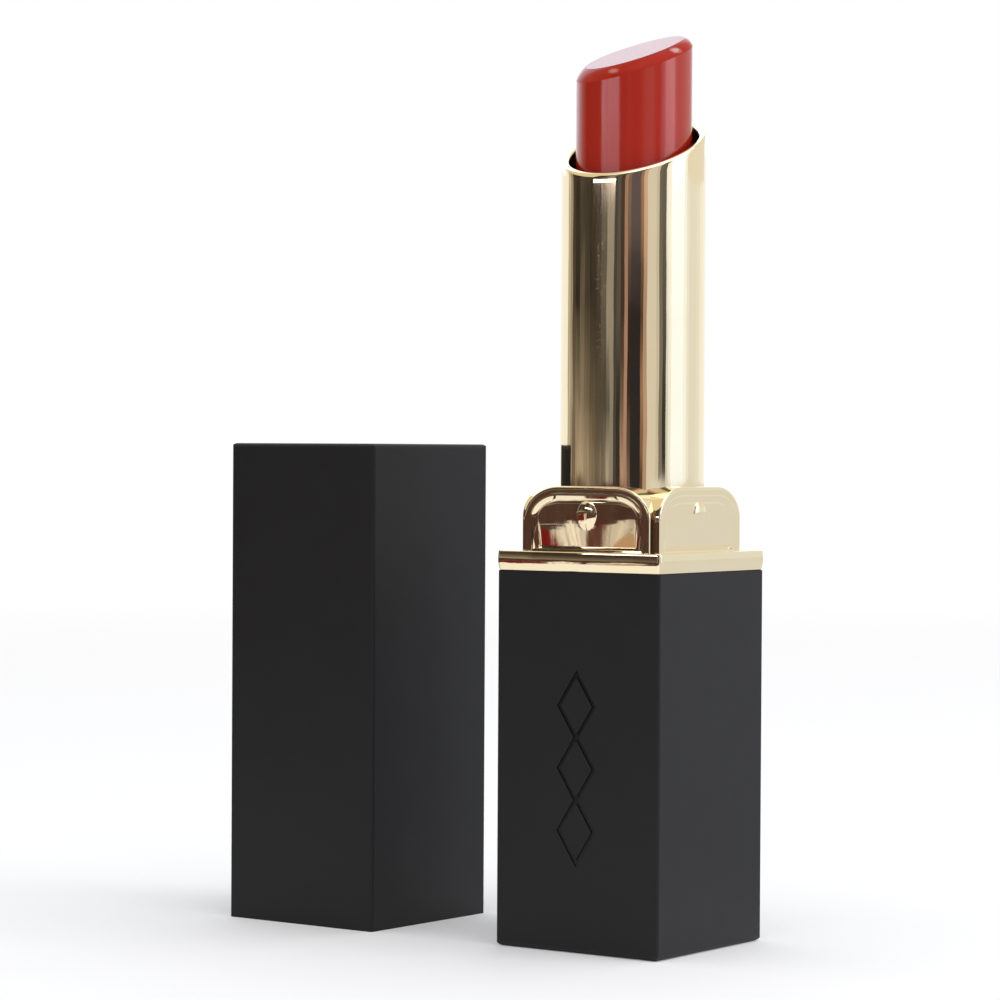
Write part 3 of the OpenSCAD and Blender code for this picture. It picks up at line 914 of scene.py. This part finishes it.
# Sheets lying on the floor: compass, how far off they start, how far off they end at the first
# compass and at the second, colour and layer
SHEETS = (
    ("dark_floor", -104, 33, 0.18, 0.57, 0.57, (0.085, 0.045, 0.036), 0),
    ("tan_board", -30.3, -26, 0.15, 0.17, 0.44, (0.50, 0.33, 0.21), 2),
    ("side_sheet", 62, 222, 0.03, 0.60, 0.60, (0.76, 0.77, 0.83), 0),
)


def mirrored_height(radius, z):
    """Height on a card that an upright mirror on the axis shows at height z millimetres."""
    return z * MM + radius * (z * MM - EYE_HEIGHT) / VIEW_DISTANCE


def raised_height(radius, elevation):
    """Height on a card at an elevation in degrees, as the camera's level has it."""
    return EYE_HEIGHT + radius * tan(radians(elevation))


def compass_point(angle, distance, height):
    """Point at a compass angle in degrees, 0 at -Y and 90 at +X."""
    return (distance * sin(radians(angle)), -distance * cos(radians(angle)), height)


def add_card(name, radius, az_low, az_high, z_low, z_high, material):
    """Upright curved card."""
    steps = 6
    points = []
    for i in range(steps + 1):
        angle = az_low + (az_high - az_low) * i / steps
        points += [compass_point(angle, radius, z) for z in (z_low, z_high)]
    faces = [(2 * i, 2 * i + 2, 2 * i + 3, 2 * i + 1) for i in range(steps)]
    card = mesh_object(name, points, faces)
    card.data.materials.append(material)
    only_reflected(card)


def add_strips(name, az_low, az_high, lines, materials, picks):
    """Strips side by side: each follows its line of (distance, height) and has its pick."""
    points, faces, chosen = [], [], []
    for i, line in enumerate(lines):
        angles = [az_low + (az_high - az_low) * (i + k) / len(lines) for k in (0, 1)]
        first = len(points)
        for distance, height in line:
            points += [compass_point(angle, distance, height) for angle in angles]
        for k in range(len(line) - 1):
            a = first + 2 * k
            faces.append((a, a + 1, a + 3, a + 2))
            chosen.append(picks[i])
    made = mesh_object(name, points, faces)
    for material in materials:
        made.data.materials.append(material)
    for face, pick in zip(made.data.polygons, chosen):
        face.material_index = pick
    only_reflected(made)


def cloth_line(elevation, reach):
    """A cloth's strip, from its far edge at an elevation, over the floor, to its near edge."""
    edge_height = COLLAR_HEIGHT + CLOTH_RADIUS * tan(radians(elevation))
    near_edge = (reach, CLOTH_LAYER)
    if edge_height > CLOTH_LAYER:
        return [(CLOTH_RADIUS, edge_height), (CLOTH_RADIUS, CLOTH_LAYER), near_edge]
    return [(-COLLAR_HEIGHT / tan(radians(elevation)), CLOTH_LAYER), near_edge]


def add_cloth(name, az_low, az_high, el_low, el_high, near, colour, shades):
    """Cloth that spreads over the floor and up the back, its far edge ragged and arched."""
    rough = random.Random(name)
    strips = max(4, round(3.6 * (az_high - az_low)))
    edges = []
    for i in range(strips):
        arch = sin(pi * (i + 0.5) / strips) ** 0.5
        edges.append(el_low + (el_high - el_low) * arch * (0.45 + 0.55 * rough.random()))
    lines = [cloth_line(edge, near * (1 + 0.25 * rough.random())) for edge in edges]
    materials = []
    for k, shade in enumerate(shades):
        tint = [c * shade for c in colour]
        materials.append(glow_material(f"{name}_{k}", tint, EVEN))
    picks = [rough.randrange(len(shades)) for i in range(strips)]
    add_strips(name, az_low, az_high, lines, materials, picks)


def add_sheet(name, az_low, az_high, near, far_low, far_high, colour, layer):
    """Sheet on the floor whose far edge runs from one distance to another."""
    height = SHEET_LAYER * (layer + 1)
    strips = 12
    lines = []
    for i in range(strips):
        far = far_low + (far_high - far_low) * i / strips
        lines.append([(near, height), (far, height)])
    add_strips(name, az_low, az_high, lines, [glow_material(name, colour, EVEN)], [0] * strips)


def shown_on_floor(across, slope, height):
    """Point at a height that the base's -Y face shows the camera, where it leans by slope.

    The spot on the face lies this far across from its middle, at the top of its panel.
    """
    seen = atan2(VIEW_DISTANCE * sin(VIEW_AZIMUTH) + AIM_SIDE * cos(VIEW_AZIMUTH),
                 VIEW_DISTANCE * cos(VIEW_AZIMUTH) - AIM_SIDE * sin(VIEW_AZIMUTH))
    side, ahead, down = sin(seen), cos(seen) * cos(2 * slope), cos(seen) * sin(2 * slope)
    along = (STEP_HEIGHT - height) / down
    return (across - along * side, -FACE_ACROSS / 2 * MM - along * ahead, height)


STRIP_SLOPES = (37, 15)             # where the panel's top leans between these, in degrees,
STRIP_ACROSS = (-0.0011, 0.0027)    # and between these places across, it shows the red strip
STRIP_COLOUR = (0.115, 0.022, 0.018)


def add_red_strip():
    """Narrow strip just above the floor, shown by the top of the base's -Y panel."""
    count = 8
    first, last = STRIP_SLOPES
    points = []
    for i in range(count):
        slope = radians(first - (first - last) * i / (count - 1))
        points += [shown_on_floor(across, slope, STRIP_LAYER) for across in STRIP_ACROSS]
    faces = [(2 * i, 2 * i + 1, 2 * i + 3, 2 * i + 2) for i in range(count - 1)]
    strip = mesh_object("red_strip", points, faces)
    strip.data.materials.append(glow_material("red_strip", STRIP_COLOUR, EVEN))
    only_reflected(strip)


def add_surroundings():
    """Everything round the set that only the mirror finish shows."""
    add_red_strip()
    top = raised_height(WALL_RADIUS, WALL_TOP)
    for name, az_low, az_high, colour, *strengths in WALLS:
        levels = [(mirrored_height(WALL_RADIUS, z), s) for z, s in zip(HEIGHTS, strengths)]
        spread = ROOM_SPREAD if az_high < ROOM_END else 0
        glow = glow_material(name, colour, levels, spread, ROOM_GRAIN)
        add_card(name, WALL_RADIUS, az_low, az_high, CARD_FOOT, top, glow)
    for name, az_low, az_high, start, el_high, colour, strength in PANELS:
        foot = mirrored_height(PANEL_RADIUS, start)
        top = raised_height(PANEL_RADIUS, el_high)
        glow = glow_material(name, colour, ((0, strength), (1, strength)))
        add_card(name, PANEL_RADIUS, az_low, az_high, foot, top, glow)
    top = mirrored_height(LOW_RADIUS, LOW_TOP)
    for name, az_low, az_high, colour, spread in LOW_CARDS:
        glow = glow_material(name, colour, EVEN, spread, LOW_GRAIN)
        add_card(name, LOW_RADIUS, az_low, az_high, CARD_FOOT, top, glow)
    for cloth in CLOTHS:
        add_cloth(*cloth)
    for sheet in SHEETS:
        add_sheet(*sheet)


# Soft lamps, all aimed at the base's foot: name, place, side in metres and watts
LAMPS = (
    ("right_fill", (0.90, 0.20, 0.45), 0.6, 2.3),
    ("overhead", (0.42, -0.05, 0.80), 1.1, 2.9),
)


def add_light(name, place, size, power):
    """Square area light aimed at the origin."""
    data = bpy.data.lights.new(name, "AREA")
    data.shape = "SQUARE"
    data.size = size
    data.energy = power
    light = bpy.data.objects.new(name, data)
    turn = (-Vector(place)).to_track_quat("-Z", "Y")
    light.matrix_world = Matrix.Translation(place) @ turn.to_matrix().to_4x4()
    light.visible_camera = False
    bpy.context.scene.collection.objects.link(light)


def add_world():
    """White backdrop."""
    world = bpy.data.worlds.new("white_sweep")
    world.use_nodes = True
    background = world.node_tree.nodes["Background"]
    background.inputs["Color"].default_value = (1, 1, 1, 1)
    background.inputs["Strength"].default_value = 1.0
    bpy.context.scene.world = world


def add_stage():
    add_floor()
    add_world()
    add_surroundings()
    for lamp in LAMPS:
        add_light(*lamp)


# ---------------------------------------------------------------- build

def dress_nodes(black, inner_black, natural, steel, rubber, paper):
    """Gives the CAD nodes that stay their finished materials."""
    looks = {
        "base_shell": black, "cap_shell": black, "cap_liner": inner_black,
        "base_core": natural, "spiral_sleeve": natural, "slotted_sleeve": natural, "cup": natural,
        "base_weight": steel, "cap_weight": steel, "retaining_ring": steel,
        "friction_ring": rubber, "shade_label": paper,
    }
    for name, material in looks.items():
        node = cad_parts[name]
        node.data.materials.clear()
        node.data.materials.append(material)


bpy.context.scene.view_settings.view_transform = "Standard"
add_camera()
add_stage()
dress_nodes(
    soft_black(),
    moulded_plastic("inner_black", (0.017, 0.017, 0.018), (0.024, 0.024, 0.025), 0.38),
    moulded_plastic("natural_plastic", (0.66, 0.64, 0.58), (0.74, 0.72, 0.66), 0.40),
    turned_steel(), ring_rubber(), label_paper())
build_collar(gold("gold_plate", (900, 900, 60)))
build_tube(gold("gold_tube", (2600, 2600, 45), RUBBED), bore_painted_shade())
build_bullet(wax())
